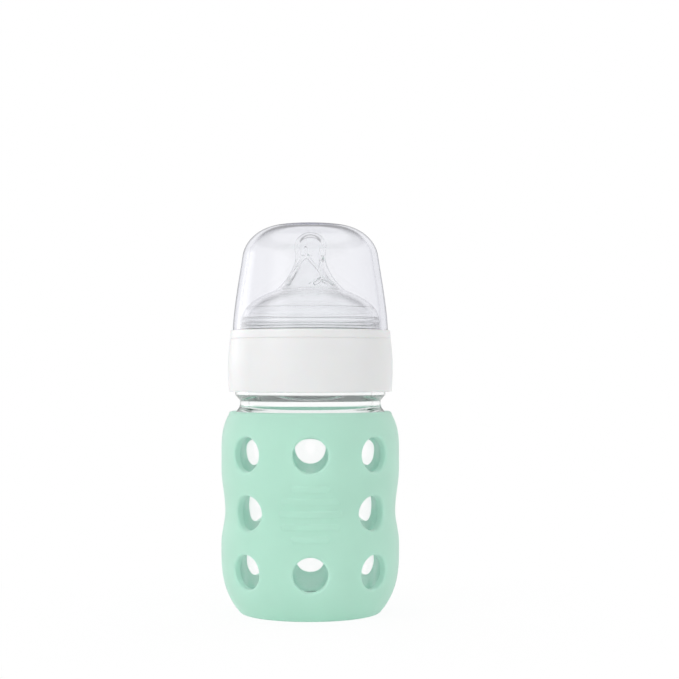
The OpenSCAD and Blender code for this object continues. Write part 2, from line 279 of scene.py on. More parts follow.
def revolve(outline, segments, relief=None):
    """Points and faces of an outline turned about the axis.

    relief(r, z, azimuth) says how far the surface stands proud of the outline there.
    """
    outline = [q for i, q in enumerate(outline) if math.dist(q, outline[i - 1]) > 1e-4]
    rz = np.array(outline, float)
    run = np.roll(rz, -1, axis=0) - np.roll(rz, 1, axis=0)
    run /= np.linalg.norm(run, axis=1)[:, None]
    azimuth = np.arange(segments) * 360.0 / segments
    r, z = rz[:, :1], rz[:, 1:]
    proud = relief(r, z, azimuth[None, :]) if relief else np.zeros((len(rz), segments))
    grid = around(r + proud * run[:, 1:], z - proud * run[:, :1], azimuth[None, :])
    points, rows = [], []
    for i, (radius, _) in enumerate(outline):
        count = 1 if radius < 1e-6 else segments
        rows.append([len(points) + (j if count > 1 else 0) for j in range(segments)])
        points.extend(grid[i, :count])
    faces = []
    for i, row in enumerate(rows):
        above = rows[(i + 1) % len(rows)]
        for j in range(segments):
            k = (j + 1) % segments
            corners = list(dict.fromkeys((row[j], row[k], above[k], above[j])))
            if len(corners) > 2:
                faces.append(corners)
    return points, faces


def thread_relief(r, z, azimuth, wall_r, start_z):
    """Right-hand thread that stands proud of a wall, starting at an azimuth of 0."""
    proud = np.zeros(np.broadcast(z, azimuth).shape)
    for lap in range(math.ceil(THREAD_TURNS)):
        turn = azimuth / 360.0 + lap
        ends = smooth(turn / THREAD_END) * smooth((THREAD_TURNS - turn) / THREAD_END)
        off = np.abs(z - start_z - THREAD_PITCH * turn)
        proud = np.maximum(proud, ends * THREAD_RISE * smooth((THREAD_HALF_W - off) / THREAD_FLANK))
    return np.where(np.abs(r - wall_r) < 0.02, proud, 0.0)


BOTTLE_THREAD_Z = FINISH_Z + 4.2
COLLAR_THREAD_Z = BOTTLE_THREAD_Z - 2 * THREAD_HALF_W - 0.1


# ---- Materials ----
def link(tree, a, b):
    """Join one node's output to another node's input."""
    tree.links.new(a, b)


def new_shader(name, **sockets):
    """Principled material with its plain socket values set; returns (material, tree, shader)."""
    material = bpy.data.materials.new(name)
    material.use_nodes = True
    tree = material.node_tree
    shader = tree.nodes["Principled BSDF"]
    for key, value in sockets.items():
        shader.inputs[key.replace("_", " ")].default_value = value
    return material, tree, shader


def noise(tree, grain, detail=2.0):
    """Noise texture whose spots are about grain millimetres across."""
    place = tree.nodes.new("ShaderNodeTexCoord")
    texture = tree.nodes.new("ShaderNodeTexNoise")
    texture.inputs["Scale"].default_value = 1.0 / (grain * MM)
    texture.inputs["Detail"].default_value = detail
    link(tree, place.outputs["Object"], texture.inputs["Vector"])
    return texture.outputs["Fac"]


def ramp(tree, value, low, high):
    """Maps a value from 0..1 to the span between two colours."""
    node = tree.nodes.new("ShaderNodeValToRGB")
    node.color_ramp.elements[0].position = 0.3
    node.color_ramp.elements[1].position = 0.7
    node.color_ramp.elements[0].color = (*low, 1.0)
    node.color_ramp.elements[1].color = (*high, 1.0)
    link(tree, value, node.inputs["Fac"])
    return node.outputs["Color"]


def span(tree, value, low, high):
    """Maps a value from 0..1 to low..high."""
    node = tree.nodes.new("ShaderNodeMapRange")
    node.inputs["To Min"].default_value = low
    node.inputs["To Max"].default_value = high
    link(tree, value, node.inputs["Value"])
    return node.outputs["Result"]


def fade(tree, value, start, end, low, high):
    """Smooth step from low at start to high at end."""
    node = tree.nodes.new("ShaderNodeMapRange")
    node.interpolation_type = "SMOOTHSTEP"
    for name, number in (("From Min", start), ("From Max", end), ("To Min", low), ("To Max", high)):
        node.inputs[name].default_value = number
    link(tree, value, node.inputs["Value"])
    return node.outputs["Result"]


def edge_shade_weight(tree, start):
    """0 where a surface faces the eye, rising to 1 at its outline; it weights the clear pieces' painted edge
    shade.
    """
    weight = tree.nodes.new("ShaderNodeLayerWeight")
    weight.inputs["Blend"].default_value = 0.5
    return fade(tree, weight.outputs["Facing"], start, 1.0, 0.0, 1.0)


def bump(tree, shader, value, depth):
    """Relief of a value, depth millimetres high."""
    node = tree.nodes.new("ShaderNodeBump")
    node.inputs["Distance"].default_value = depth * MM
    link(tree, value, node.inputs["Height"])
    link(tree, node.outputs["Normal"], shader.inputs["Normal"])


def absorb(tree, colour, density):
    """Tint that deepens with the length of the way through a clear piece."""
    node = tree.nodes.new("ShaderNodeVolumeAbsorption")
    node.inputs["Color"].default_value = (*colour, 1.0)
    node.inputs["Density"].default_value = density
    link(tree, node.outputs["Volume"], tree.nodes["Material Output"].inputs["Volume"])


def let_through(tree, shader, colour, share):
    """Let a share of the light through the wall, in a colour that comes from another node."""
    through = tree.nodes.new("ShaderNodeBsdfTranslucent")
    link(tree, colour, through.inputs["Color"])
    mix = tree.nodes.new("ShaderNodeMixShader")
    if isinstance(share, float):
        mix.inputs["Fac"].default_value = share
    else:
        link(tree, share, mix.inputs["Fac"])
    link(tree, shader.outputs[0], mix.inputs[1])
    link(tree, through.outputs[0], mix.inputs[2])
    link(tree, mix.outputs[0], tree.nodes["Material Output"].inputs["Surface"])


# Each pair of colours is the span over which the piece's tint clouds slightly.
MINT = ((0.65, 0.94, 0.80), (0.67, 0.96, 0.82))
MINT_THROUGH = ((0.77, 0.98, 0.92), (0.79, 1.0, 0.94))  # of light that comes through the wall
COLLAR_WHITE = ((0.872, 0.872, 0.875), (0.897, 0.897, 0.9))
GLASS_TINT = (0.86, 0.95, 0.92)  # of light that goes a long way through the glass
PLASTIC_TINT = (0.87, 0.875, 0.92)
CLEAR = (1.0, 1.0, 1.0)
CLEAR_SILICONE = (0.995, 0.997, 1.0)
# The colours below are painted shade: a clear piece's colour is darkened towards its outline, standing in for
# the dark edges that reflection and refraction give it.
EDGE_SHADE_FROM = 0.6  # facing weight at which a clear piece starts to darken towards its outline
GLASS_EDGE_SHADE = (0.4, 0.44, 0.42)
PLASTIC_EDGE_SHADE = (0.6, 0.6, 0.63)
SILICONE_EDGE_SHADE = (0.65, 0.65, 0.68)


def mint_silicone():
    """Matte moulded silicone with a powdery bloom, which lets some light through its wall."""
    material, tree, shader = new_shader("mint_silicone", IOR=1.41, Sheen_Weight=1.0, Sheen_Roughness=0.5)
    cloud = noise(tree, 14.0)
    link(tree, ramp(tree, cloud, *MINT), shader.inputs["Base Color"])
    let_through(tree, shader, ramp(tree, cloud, *MINT_THROUGH), 0.5)
    link(tree, span(tree, noise(tree, 3.0), 0.5, 0.6), shader.inputs["Roughness"])
    bump(tree, shader, noise(tree, 0.35), 0.012)
    return material


def clear_glass():
    """Clear glass, faintly green where its way through is long, with painted grey-green shade darkening it
    towards its outline.
    """
    material, tree, shader = new_shader(
        "clear_glass", Base_Color=(1.0, 1.0, 1.0, 1.0), IOR=1.5, Transmission_Weight=1.0,
    )
    surface_colour = ramp(tree, edge_shade_weight(tree, EDGE_SHADE_FROM), CLEAR, GLASS_EDGE_SHADE)
    link(tree, surface_colour, shader.inputs["Base Color"])
    link(tree, span(tree, noise(tree, 30.0), 0.0, 0.02), shader.inputs["Roughness"])
    bump(tree, shader, noise(tree, 18.0, 1.0), 0.02)
    absorb(tree, GLASS_TINT, 12.0)
    return material


def clear_plastic():
    """Clear moulded plastic, faintly violet where its way through is long, with painted violet-grey shade
    darkening it towards its outline.
    """
    material, tree, shader = new_shader(
        "clear_plastic", Base_Color=(1.0, 1.0, 1.0, 1.0), IOR=1.49, Transmission_Weight=1.0,
    )
    surface_colour = ramp(tree, edge_shade_weight(tree, EDGE_SHADE_FROM), CLEAR, PLASTIC_EDGE_SHADE)
    link(tree, surface_colour, shader.inputs["Base Color"])
    link(tree, span(tree, noise(tree, 25.0), 0.01, 0.04), shader.inputs["Roughness"])
    bump(tree, shader, noise(tree, 20.0, 1.0), 0.02)
    absorb(tree, PLASTIC_TINT, 200.0)
    return material


def clear_silicone():
    """Soft clear silicone, a little milky, with painted grey shade darkening it towards its outline."""
    material, tree, shader = new_shader("clear_silicone", IOR=1.41, Transmission_Weight=1.0)
    surface_colour = ramp(tree, edge_shade_weight(tree, EDGE_SHADE_FROM), CLEAR_SILICONE, SILICONE_EDGE_SHADE)
    link(tree, surface_colour, shader.inputs["Base Color"])
    link(tree, span(tree, noise(tree, 2.5), 0.05, 0.09), shader.inputs["Roughness"])
    bump(tree, shader, noise(tree, 0.5), 0.006)
    return material


COLLAR_SHARE = 0.16  # share of the light that the collar's outer wall lets through
INNER_SHARE = 0.9  # the same for its inner walls, so that clear pieces inside it stay bright
INNER_R = 31.2
INNER_BLEND = 0.1
# Painted light: the collar's inner walls are coloured whiter than its outer ones, standing in for light
# inside the collar.
INNER_PAINTED_LIGHT = (0.97, 0.97, 0.97, 1.0)


def inner_wall(tree):
    """1 on the collar's inner walls and 0 on its outer ones."""
    place = tree.nodes.new("ShaderNodeTexCoord")
    flat = tree.nodes.new("ShaderNodeVectorMath")
    flat.operation = "MULTIPLY"
    flat.inputs[1].default_value = (1.0, 1.0, 0.0)
    link(tree, place.outputs["Object"], flat.inputs[0])
    reach = tree.nodes.new("ShaderNodeVectorMath")
    reach.operation = "LENGTH"
    link(tree, flat.outputs["Vector"], reach.inputs[0])
    return fade(tree, reach.outputs["Value"], INNER_R * MM, (INNER_R + INNER_BLEND) * MM, 1.0, 0.0)


def white_polypropylene():
    """White moulded plastic with a soft satin sheen, painted lighter on its inner walls."""
    material, tree, shader = new_shader(
        "white_polypropylene", IOR=1.49, Subsurface_Weight=0.1, Subsurface_Scale=0.001,
    )
    surface_colour = ramp(tree, noise(tree, 20.0), *COLLAR_WHITE)
    inner = inner_wall(tree)
    # Painted light: the inner walls take the whiter colour.
    blend = tree.nodes.new("ShaderNodeMixRGB")
    blend.inputs["Color2"].default_value = INNER_PAINTED_LIGHT
    link(tree, inner, blend.inputs["Fac"])
    link(tree, surface_colour, blend.inputs["Color1"])
    link(tree, blend.outputs[0], shader.inputs["Base Color"])
    let_through(tree, shader, blend.outputs[0], span(tree, inner, COLLAR_SHARE, INNER_SHARE))
    link(tree, span(tree, noise(tree, 4.0), 0.3, 0.38), shader.inputs["Roughness"])
    bump(tree, shader, noise(tree, 0.4), 0.006)
    return material


MINT_SILICONE = mint_silicone()
GLASS = clear_glass()
PLASTIC = clear_plastic()
SILICONE = clear_silicone()
WHITE = white_polypropylene()


# ---- Glass bottle ----
def glass_bottle():
    """Bottle with a waist, a hollow under its floor, a bead below its finish and a thread."""
    base = GLASS_BASE + HAIR
    inside_z = GLASS_BASE + GLASS_FLOOR
    heel_z = inside_z + HEEL_ROUND
    punt_r = FLOOR_OPENING_R + 2.0
    inner_r = float(glass_r(THROAT_FROM)) - GLASS_WALL
    heel_r = float(glass_r(heel_z)) - GLASS_WALL
    corner_z = base + HEEL_CORNER
    corner_r = float(glass_r(corner_z)) - HEEL_CORNER - HEEL_TUCK
    lip_z = MOUTH_Z - MOUTH_LIP
    outside = [(punt_r * u, base + PUNT_RISE * (1 - u * u)) for u in np.linspace(0, 1, 12)]
    outside += arc((corner_r, corner_z), HEEL_CORNER, -90, -30, 6)
    outside += [(float(glass_r(z)), z) for z in heights(corner_z, BLEND_Z, 1.0)[:-1]]
    outside += shoulder_blend()
    slope = math.degrees(BEAD_SLOPE)
    straight = BEAD_R - NECK_R - 2 * BEAD_ROUND * (1 - math.cos(BEAD_SLOPE))
    bead_from = BEAD_Z + BEAD_ROUND * (1 - 2 * math.sin(BEAD_SLOPE)) - straight / math.tan(BEAD_SLOPE)
    outside += arc((NECK_R + BEAD_ROUND, bead_from), BEAD_ROUND, 180, 180 - slope, 5)
    outside += arc((BEAD_R - BEAD_ROUND, BEAD_Z + BEAD_ROUND), BEAD_ROUND, -slope, 0)
    outside += arc((BEAD_R - BEAD_ROUND, FINISH_Z - BEAD_ROUND), BEAD_ROUND, 0, 90)
    outside += arc((FINISH_R + FINISH_FILLET, FINISH_Z + FINISH_FILLET), FINISH_FILLET, 270, 180, 4)
    outside += line((FINISH_R, FINISH_Z + FINISH_FILLET + 0.2), (FINISH_R, lip_z - 0.1), 56)
    outside += arc((FINISH_R - MOUTH_LIP, lip_z), MOUTH_LIP, 0, 90)
    inside = [(0.0, inside_z)] + line((4.0, inside_z), (heel_r - HEEL_ROUND, inside_z), 4)
    inside += arc((heel_r - HEEL_ROUND, heel_z), HEEL_ROUND, -90, 0, 16)
    inside += [(float(glass_r(z)) - GLASS_WALL, z) for z in heights(heel_z, THROAT_FROM, 1.0)[1:]]
    throat_centre = (BORE_R + THROAT_ROUND, NECK_Z - THROAT_DROP)
    throat = arc(throat_centre, THROAT_ROUND, 180 + math.degrees(THROAT_SLOPE), 180)
    way = np.array((math.sin(THROAT_SLOPE), -math.cos(THROAT_SLOPE)))
    inside += bezier([
        (inner_r, THROAT_FROM + 1), (inner_r, THROAT_FROM + THROAT_RISE),
        throat[0] + THROAT_RUN * way, throat[0],
    ])[:-1]
    inside += throat + line((BORE_R, NECK_Z + 2), (BORE_R, lip_z), 6)
    inside += arc((BORE_R + MOUTH_LIP, lip_z), MOUTH_LIP, 180, 90)
    points, faces = revolve(
        outside + inside[::-1], SEGMENTS,
        lambda r, z, a: np.where(
            z > FINISH_Z, thread_relief(r, z, a, FINISH_R, BOTTLE_THREAD_Z), 0.0,
        ),
    )
    piece = make("glass_bottle_body", points, faces, GLASS, "bottle")
    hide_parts("glass_bottle")


# ---- Silicone sleeve ----
class Shell:
    """Points and faces gathered from several strips, with coinciding points joined at the end."""

    def __init__(self):
        self.points = []
        self.faces = []

    def add(self, points, faces):
        first = len(self.points)
        self.points.extend(points)
        self.faces.extend([first + i for i in face] for face in faces)

    def strip(self, rows):
        """Quads between closed rows of equally many points."""
        n = len(rows[0])
        faces = [
            (i * n + j, i * n + (j + 1) % n, (i + 1) * n + (j + 1) % n, (i + 1) * n + j)
            for i in range(len(rows) - 1)
            for j in range(n)
        ]
        self.add([p for row in rows for p in row], faces)

    def joined(self):
        """Points and faces with points that lie within a micrometre of each other made one."""
        keys, index, points = {}, [], []
        for p in self.points:
            key = tuple(np.round(np.asarray(p) * 1000.0).astype(int))
            if key not in keys:
                keys[key] = len(points)
                points.append(p)
            index.append(keys[key])
        faces = [list(dict.fromkeys(index[i] for i in face)) for face in self.faces]
        return points, [face for face in faces if len(face) > 2]


SLEEVE_SEGMENTS = 288
WINDOW_POINTS = 64
ZONE_LOW = 9.0
ZONE_HIGH = 75.0
SEAM = -90.0  # azimuth where the sleeve's skin is cut open to be meshed flat
ZONE_STEP = 0.8
FINE_A, FINE_STEP_A = 22.0, 0.75  # degrees of the finer grid round the grip patch
FINE_Z, FINE_STEP_Z = 13.0, 0.45
SAME_SIDE = 60.0  # degrees beyond which a point isn't compared with a window or a bar


def window_places():
    """(azimuth, height) of every window; the front's middle place holds the grip patch."""
    return [
        (face + column * angle, WINDOW_Z + row * WINDOW_PITCH)
        for face, angle in ((0, FRONT_ANGLE), (180, BACK_ANGLE))
        for column in (-1, 0, 1)
        for row in (-1, 0, 1)
        if (face, column, row) != (0, 0, 0)
    ]


def window_ring(place, radius, wall):
    """Azimuths and heights where a cylinder about a window's axis meets a wall of revolution."""
    turn = np.arange(WINDOW_POINTS) * 2 * math.pi / WINDOW_POINTS
    z = place[1] + radius * np.sin(turn)
    return place[0] + np.degrees(np.arcsin(radius * np.cos(turn) / wall(z))), z


def pill_ring(length, z, grow):
    """Points round a bar with round ends, grown by a distance, as (across, height)."""
    half, r = (length - GRIP_BAR_W) / 2, GRIP_BAR_W / 2 + grow
    ends = [(side * half + r * math.sin(side * q), z + r * math.cos(q) * side)
            for side in (1, -1) for q in np.radians(np.linspace(0, 180, 11))]
    run = max(2, round(2 * half / 0.8))
    top = line(ends[-1], ends[0], run)[1:]
    bottom = line(ends[10], ends[11], run)[1:]
    return np.array(ends[:11] + bottom + ends[11:] + top)


def pill_distance(x, z, length, z0):
    """Distance outside a bar with round ends, negative inside it."""
    half = (length - GRIP_BAR_W) / 2
    return np.hypot(np.maximum(np.abs(x) - half, 0.0), z - z0) - GRIP_BAR_W / 2


def grip_bars():
    """(length, height) of every raised bar; their ends follow a circle."""
    pitch = 2 * GRIP_R / GRIP_BARS
    offsets = [(i - (GRIP_BARS - 1) / 2) * pitch for i in range(GRIP_BARS)]
    return [(2 * math.sqrt(GRIP_R**2 - dz**2), GRIP_Z + dz) for dz in offsets]


def zone(wall, radii, with_grip):
    """Skin between ZONE_LOW and ZONE_HIGH, pierced by the windows.

    radii lists the rings round each window as (radius, sink), from the outermost to the hole's edge.
    Returns points, triangles and, for each window, the point indices round its hole.
    """
    step = 360.0 / SLEEVE_SEGMENTS
    azimuths = SEAM + np.arange(SLEEVE_SEGMENTS + 1) * step
    levels = heights(ZONE_LOW, ZONE_HIGH, ZONE_STEP)
    a, z = (g.ravel() for g in np.meshgrid(azimuths, levels, indexing="ij"))
    sides = (a < azimuths[0] + step / 2) | (a > azimuths[-1] - step / 2) | (z <= ZONE_LOW) | (z >= ZONE_HIGH)
    if with_grip:
        fine_a, fine_z = (g.ravel() for g in np.meshgrid(
            np.arange(-FINE_A, FINE_A + 0.1, FINE_STEP_A),
            np.arange(GRIP_Z - FINE_Z, GRIP_Z + FINE_Z + 0.1, FINE_STEP_Z), indexing="ij",
        ))
        near = (np.abs(a) < FINE_A + 0.5) & (np.abs(z - GRIP_Z) < FINE_Z + 0.4)
        a, z, sides = a[~near], z[~near], sides[~near]
        a, z = np.concatenate([a, fine_a]), np.concatenate([z, fine_z])
        sides = np.concatenate([sides, np.zeros(len(fine_a), bool)])
    keep = np.ones(len(a), bool)
    for place in window_places():
        off = (a - place[0] + 180.0) % 360.0 - 180.0
        x = wall(z) * np.sin(np.radians(off))
        keep &= (np.abs(off) > SAME_SIDE) | (np.hypot(x, z - place[1]) > radii[0][0] + 0.35)
    if with_grip:
        x = wall(z) * np.sin(np.radians(a))
        for length, bar_z in grip_bars():
            gap = pill_distance(x, z, length, bar_z)
            keep &= (np.abs(a) > SAME_SIDE) | (np.abs(gap) > GRIP_EDGE + 0.2)
    a, z = a[keep | sides], z[keep | sides]
    flat = [np.stack([a, z], axis=1)]
    edges, rings = [], []
    count = len(a)
    lifts = [np.zeros(count)]
    sinks = [np.zeros((count, 3))]
    for place in window_places():
        direction = around(np.array(1.0), np.array(0.0), np.array(place[0]))
        for radius, sink in radii:
            ring_a, ring_z = window_ring(place, radius, wall)
            ring_a = (ring_a - SEAM) % 360.0 + SEAM
            flat.append(np.stack([ring_a, ring_z], axis=1))
            lifts.append(np.zeros(WINDOW_POINTS))
            sinks.append(np.repeat([direction * sink], WINDOW_POINTS, axis=0))
            ring = list(range(count, count + WINDOW_POINTS))
            edges += list(zip(ring, ring[1:] + ring[:1]))
            count += WINDOW_POINTS
        rings.append(ring)
    if with_grip:
        for length, bar_z in grip_bars():
            for share in (1.0, 0.5, 0.0, -0.5, -1.0):
                xz = pill_ring(length, bar_z, share * GRIP_EDGE)
                ring_a = np.degrees(np.arcsin(xz[:, 0] / wall(xz[:, 1])))
                flat.append(np.stack([ring_a, xz[:, 1]], axis=1))
                lifts.append(np.full(len(xz), GRIP_RISE * float(smooth((1.0 - share) / 2))))
                sinks.append(np.zeros((len(xz), 3)))
                ring = list(range(count, count + len(xz)))
                edges += list(zip(ring, ring[1:] + ring[:1]))
                count += len(xz)
    flat, lifts, sinks = np.concatenate(flat), np.concatenate(lifts), np.concatenate(sinks)
    if with_grip:
        x = wall(flat[:, 1]) * np.sin(np.radians(flat[:, 0]))
        for length, bar_z in grip_bars():
            inner = pill_distance(x, flat[:, 1], length, bar_z) < -GRIP_EDGE
            lifts[inner & (np.abs(flat[:, 0]) < SAME_SIDE)] = GRIP_RISE
    scale = math.radians(1.0) * SLEEVE_R
    sheet = [Vector((q[0] * scale, q[1])) for q in flat]
    made = geometry.delaunay_2d_cdt(sheet, edges, [], 0, 1e-5)
    origin = [old[0] for old in made[3]]
    where = {old: i for i, olds in enumerate(made[3]) for old in olds}
    hole = np.full(len(flat), -1)
    for i, ring in enumerate(rings):
        hole[ring] = i
    faces = []
    for face in made[2]:
        olds = [origin[i] for i in face]
        holes = {int(hole[i]) for i in olds}
        if len(holes) > 1 or holes == {-1}:
            faces.append(olds)
    points = around(wall(flat[:, 1]) + lifts, flat[:, 1], flat[:, 0]) - sinks
    rings = [[origin[where[i]] for i in ring] for ring in rings]
    return points, faces, rings


def silicone_sleeve():
    """Sleeve round the glass, pierced by windows with rounded lips, with raised bars in front."""
    shell = Shell()
    sleeve_floor = GLASS_BASE
    fillet = 0.4
    azimuths = SEAM + np.arange(SLEEVE_SEGMENTS) * 360.0 / SLEEVE_SEGMENTS
    lip = [(WINDOW_R + WINDOW_LIP + 0.7, 0.0)] + [
        (WINDOW_R + WINDOW_LIP * (1 - math.sin(q)), WINDOW_LIP * (1 - math.cos(q)))
        for q in np.radians(np.linspace(0, 90, 6))
    ]
    outer, outer_faces, outer_rings = zone(skin_r, lip, True)
    inner, inner_faces, inner_rings = zone(cavity_r, [(WINDOW_R + 0.8, 0.0), (WINDOW_R, 0.0)], False)
    shell.add(list(outer), outer_faces)
    shell.add(list(inner), [face[::-1] for face in inner_faces])
    for outside, inside in zip(outer_rings, inner_rings):
        shell.strip([outer[outside] + (inner[inside] - outer[outside]) * t for t in (0.0, 0.5, 1.0)])
    floor_r = FLOOR_OPENING_R + fillet
    low = [(float(cavity_r(z)), z) for z in heights(sleeve_floor, ZONE_LOW, ZONE_STEP)][::-1]
    low += line((float(cavity_r(sleeve_floor)) - fillet, sleeve_floor), (floor_r, sleeve_floor), 4)
    low += arc((floor_r, sleeve_floor - fillet), fillet, 90, 180, 4)
    low += arc((floor_r, fillet), fillet, 180, 270, 4)
    low += line((FLOOR_OPENING_R + 1.0, 0.0), (FOOT_R, 0.0), 4)
    low += arc((FOOT_R, FOOT_ROUND), FOOT_ROUND, -90, -FOOT_SLOPE, 8)
    low += [(float(skin_r(z)), z) for z in heights(FOOT_ROUND, ZONE_LOW, ZONE_STEP)[1:]]
    high = [(float(skin_r(z)), z) for z in heights(ZONE_HIGH, RIM_Z, ZONE_STEP)]
    high += arc((float(skin_r(RIM_Z)) - RIM_ROUND, RIM_Z), RIM_ROUND, 0, 90, 10)[1:]
    edge_r = next(r for r, z in shoulder_blend(SLEEVE_FIT) if z > SLEEVE_H - 0.35)
    high += arc((edge_r + fillet, SLEEVE_H - fillet), fillet, 90, 180, 4)
    high += [(float(cavity_r(z)), z) for z in heights(ZONE_HIGH, BLEND_Z, ZONE_STEP)[::-1]]
    for outline in (low, high):
        shell.strip([around(np.array(r), np.array(z), azimuths) for r, z in outline])
    points, faces = shell.joined()
    piece = make("silicone_sleeve_body", points, faces, MINT_SILICONE, "bottle")
    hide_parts("silicone_sleeve")


# ---- Screw collar ----
def screw_collar():
    """Collar with a groove below its band, a seat for the cap, a plate and a thread."""
    groove_z = SEAT_Z - 0.6
    groove = 0.25
    bulge_z = COLLAR_BASE + 11.3
    base_draw, top_draw, edge_draw, edge_round = 0.35, 0.8, 1.0, 0.5
    skirt_r = COLLAR_R - base_draw
    band_r = COLLAR_R - edge_draw
    neck_r = COLLAR_R - top_draw
    seat_r = CAP_R + 0.2
    seat_fillet, plate_fillet = 0.3, 0.4
    outline = arc((skirt_r - edge_round, COLLAR_BASE + edge_round), edge_round, -90, 0)
    outline += [
        (COLLAR_R - base_draw * u * u, bulge_z - u * (bulge_z - COLLAR_BASE - edge_round))
        for u in np.linspace(1, 0, 20)[1:]
    ]
    outline += [
        (COLLAR_R - top_draw * u**1.5, bulge_z + u * (groove_z - groove - bulge_z))
        for u in np.linspace(0, 1, 20)[1:]
    ]
    outline += arc((neck_r, groove_z), groove, -90, -270, 8)[1:-1]
    outline += bezier([
        (neck_r, groove_z + groove), (neck_r, groove_z + 1.4), (band_r, COLLAR_TOP - 2.0),
        (band_r, COLLAR_TOP - edge_round),
    ], n=10)
    outline += arc((band_r - edge_round, COLLAR_TOP - edge_round), edge_round, 0, 90)[1:]
    outline += arc((seat_r + seat_fillet, COLLAR_TOP - seat_fillet), seat_fillet, 90, 180, 4)
    outline += arc((seat_r - seat_fillet, SEAT_Z + seat_fillet), seat_fillet, 0, -90, 4)
    outline += arc((PLATE_OPENING_R + plate_fillet, SEAT_Z - plate_fillet), plate_fillet, 90, 180, 4)
    outline += arc((PLATE_OPENING_R + seat_fillet, PLATE_Z + seat_fillet), seat_fillet, 180, 270, 4)
    outline += arc((COLLAR_BORE_R - plate_fillet, PLATE_Z - plate_fillet), plate_fillet, 90, 0, 4)
    outline += line((COLLAR_BORE_R, PLATE_Z - 0.6), (COLLAR_BORE_R, COLLAR_BASE + 0.6), 64)
    outline += arc((COLLAR_BORE_R + edge_round, COLLAR_BASE + edge_round), edge_round, 180, 270, 4)
    points, faces = revolve(
        outline, SEGMENTS,
        lambda r, z, a: np.where(
            z < PLATE_Z - 0.5, thread_relief(r, z, a, COLLAR_BORE_R, COLLAR_THREAD_Z), 0.0,
        ),
    )
    piece = make("screw_collar_body", points, faces, WHITE, "collar")
    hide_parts("screw_collar")


# ---- Nipple ----
BULGE_H = 4.5
FLARE = np.array((15.5, 18.5))
FLARE_SLOPE = math.radians(22.0)
FLARE_WAY = np.array((math.cos(FLARE_SLOPE), -math.sin(FLARE_SLOPE)))
TIP_NECK_H = NIPPLE_H - 10.8
TIP_WIDE_H = NIPPLE_H - TIP_R
DOME_CURVE = [(NIPPLE_BASE_R, BULGE_H), (NIPPLE_BASE_R, BULGE_H + 7.0), FLARE + 9.0 * FLARE_WAY, FLARE]
SHAFT_CURVE = [FLARE, FLARE - 5.0 * FLARE_WAY, (TIP_NECK_R, TIP_NECK_H - 4.0), (TIP_NECK_R, TIP_NECK_H)]
SWELL_CURVE = [
    (TIP_NECK_R, TIP_NECK_H), (TIP_NECK_R, TIP_NECK_H + 1.5), (TIP_R, TIP_WIDE_H - 1.5), (TIP_R, TIP_WIDE_H),
]
TIP_CURVE = [
    (TIP_R, TIP_WIDE_H), (TIP_R, TIP_WIDE_H + TIP_R * 0.55), (TIP_R * 0.55, NIPPLE_H), (0.0, NIPPLE_H),
]
FLEX_GROOVES = ((0.0, 0.4), (0.05, 0.3), (0.145, 0.4), (0.42, 0.15))  # (share of the dome, radius)
GROOVE_CLEAR = 0.05
CURVE_STEPS = 200
RIB_LOBES = 3
RIB_TURN = 36.0  # azimuth of the first lobe


def nipple_skin(inset):
    """Nipple's skin from its base above the collar's plate to its feeding hole."""
    parts = ((DOME_CURVE, 60), (SHAFT_CURVE, 72), (SWELL_CURVE, 16), (TIP_CURVE, 28))
    points = [q for controls, n in parts for q in bezier(controls, inset, n)[1:]]
    return [(r, z + SEAT_Z) for r, z in points if r > FEED_HOLE_R]


def grooved(skin):
    """The skin with its flexing grooves, each in place of the points that it takes away."""
    for share, r in FLEX_GROOVES:
        centre, beyond = bezier(DOME_CURVE, 0.0, CURVE_STEPS)[round(share * CURVE_STEPS):][:2]
        lean = math.degrees(math.atan2(beyond[1] - centre[1], beyond[0] - centre[0]))
        centre = (centre[0], centre[1] + SEAT_Z)
        left = [q for q in skin if math.dist(q, centre) > r + GROOVE_CLEAR]
        below = [q for q in left if q[1] < centre[1]]
        skin = below + arc(centre, r, lean + 180, lean, 12) + left[len(below):]
    return skin


def rib_strokes():
    """Strokes of the ribs in a side view, as (azimuth of the view, from, to), heights above the plate."""
    fork = (0.0, TIP_NECK_H - 6.2)
    crotch = (0.0, TIP_NECK_H - 9.1)
    arm = ((TIP_NECK_R - NIPPLE_WALL) * math.sin(math.radians(60)), TIP_NECK_H + 0.3)
    leg = (4.1, TIP_NECK_H - 11.8)
    strokes = []
    for lobe in range(RIB_LOBES):
        turn = RIB_TURN + lobe * 360 / RIB_LOBES
        strokes.append((turn, crotch, fork))
        for side in (-1, 1):
            strokes.append((turn, fork, (side * arm[0], arm[1])))
            strokes.append((turn, crotch, (side * leg[0], leg[1])))
        strokes.append((turn + 180 / RIB_LOBES, (0.0, arm[1]), (0.0, TIP_NECK_H + 3.5)))
    return strokes


def rib_relief(r, z, azimuth):
    """How far the ribs stand proud of the nipple's inner surface."""
    proud = np.zeros(np.broadcast(z, azimuth).shape)
    for turn, start, end in rib_strokes():
        off = np.radians(azimuth - turn)
        x, h = r * np.sin(off), z - SEAT_Z + 0.0 * off
        run = np.array(end) - np.array(start)
        share = ((x - start[0]) * run[0] + (h - start[1]) * run[1]) / (run @ run)
        share = np.clip(share, 0.0, 1.0)
        gap = np.hypot(x - start[0] - share * run[0], h - start[1] - share * run[1])
        height = RIB_RISE * smooth((RIB_W / 2 + RIB_EDGE / 2 - gap) / RIB_EDGE)
        proud = np.maximum(proud, np.where(np.cos(off) > 0, height, 0.0))
    return proud


